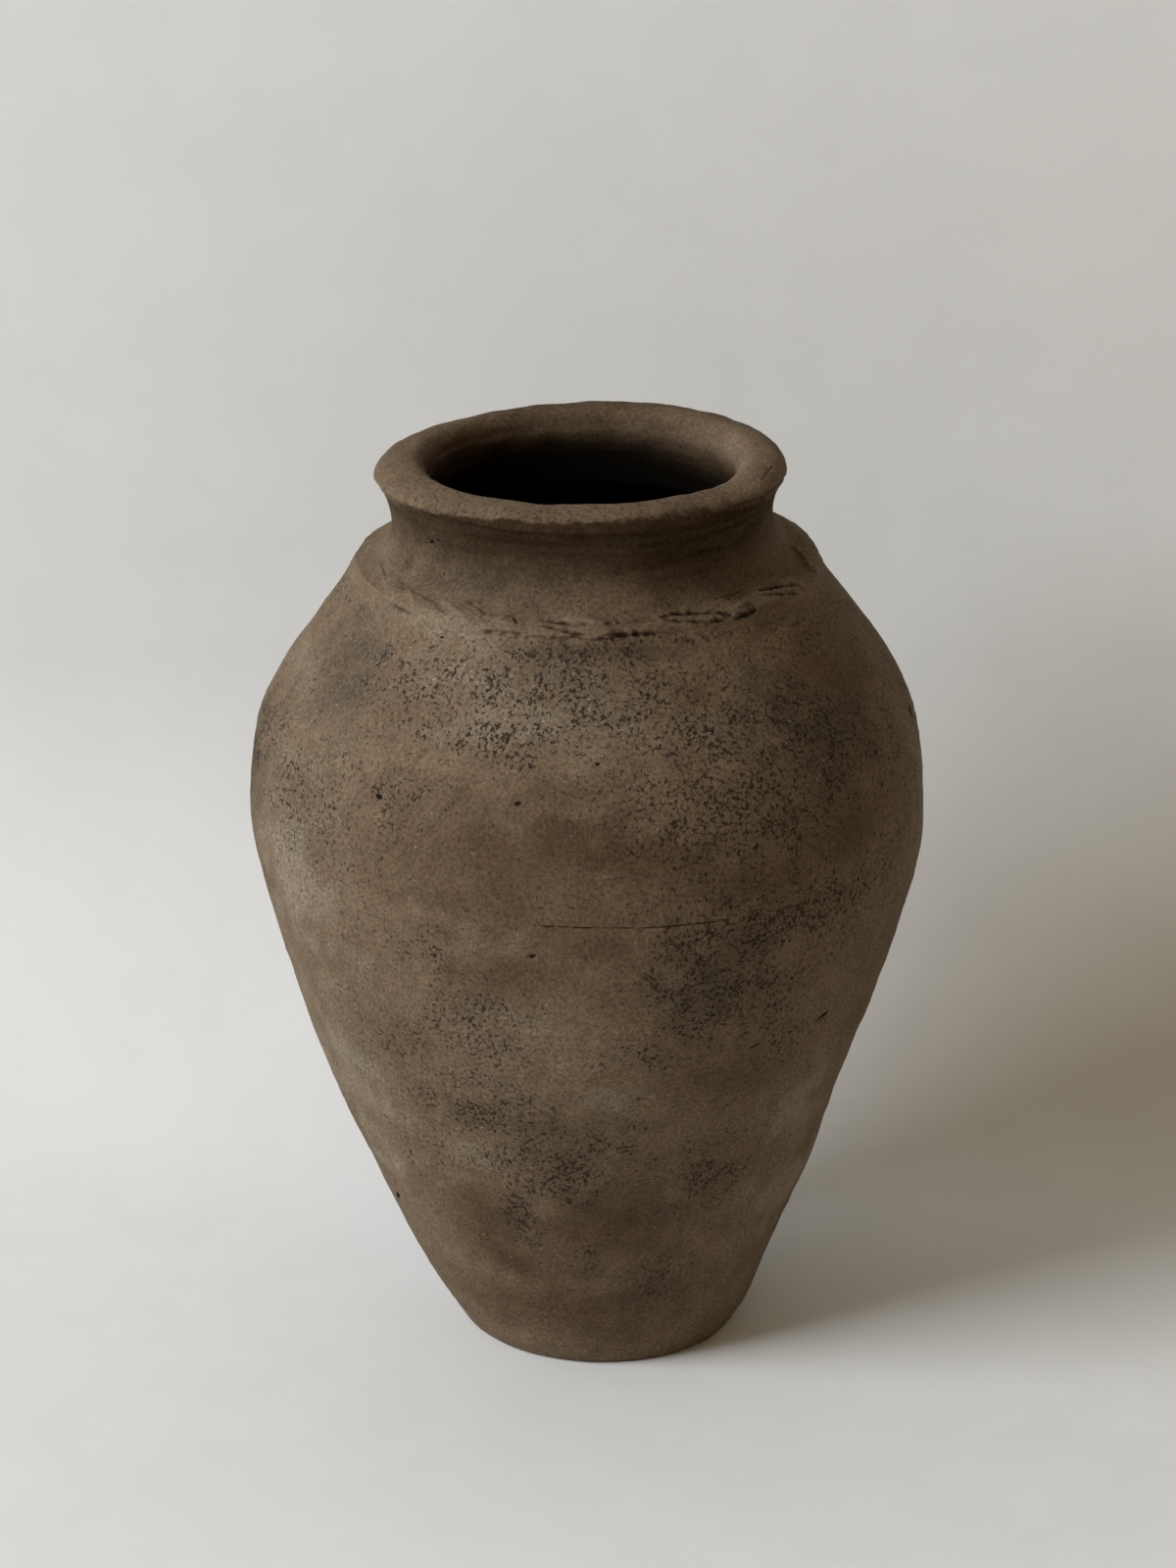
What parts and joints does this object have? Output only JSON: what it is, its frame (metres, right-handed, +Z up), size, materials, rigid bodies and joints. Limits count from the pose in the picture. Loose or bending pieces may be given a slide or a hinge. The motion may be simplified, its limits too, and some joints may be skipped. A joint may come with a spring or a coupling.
{
  "type": "pithos storage jar",
  "caption": "Hand-built unglazed clay storage jar with a wide shoulder, tapering body, narrow flat foot, short concave neck and rolled lip, for holding dry goods or liquids.",
  "frame": {"origin": "middle of the flat foot, on the surface that the jar stands on", "axes": "+Z up along the jar's axis; -Y towards the viewer of the picture; +X to that viewer's right"},
  "size_m": [0.241, 0.241, 0.33],
  "materials": {
    "smoked_clay": "matte unglazed low-fired clay, brown with grey smoke clouds and dark speckle",
    "sooty_clay": "matte unglazed clay darkened with soot",
    "lute_clay": "matte unglazed clay, smeared by finger",
    "inner_clay": "matte unglazed clay, smoke-blackened inside"
  },
  "bodies": {
    "root": {"base_disc": "smoked_clay", "base_lute": "inner_clay", "lower_wall": "smoked_clay", "lower_seam_lute": "inner_clay", "belly_wall": "smoked_clay", "belly_seam_lute": "inner_clay", "shoulder_wall": "smoked_clay", "neck_collar": "sooty_clay", "neck_lute": "lute_clay", "throat_lute": "inner_clay", "rim_coil": "smoked_clay"}
  },
  "joints": []
}
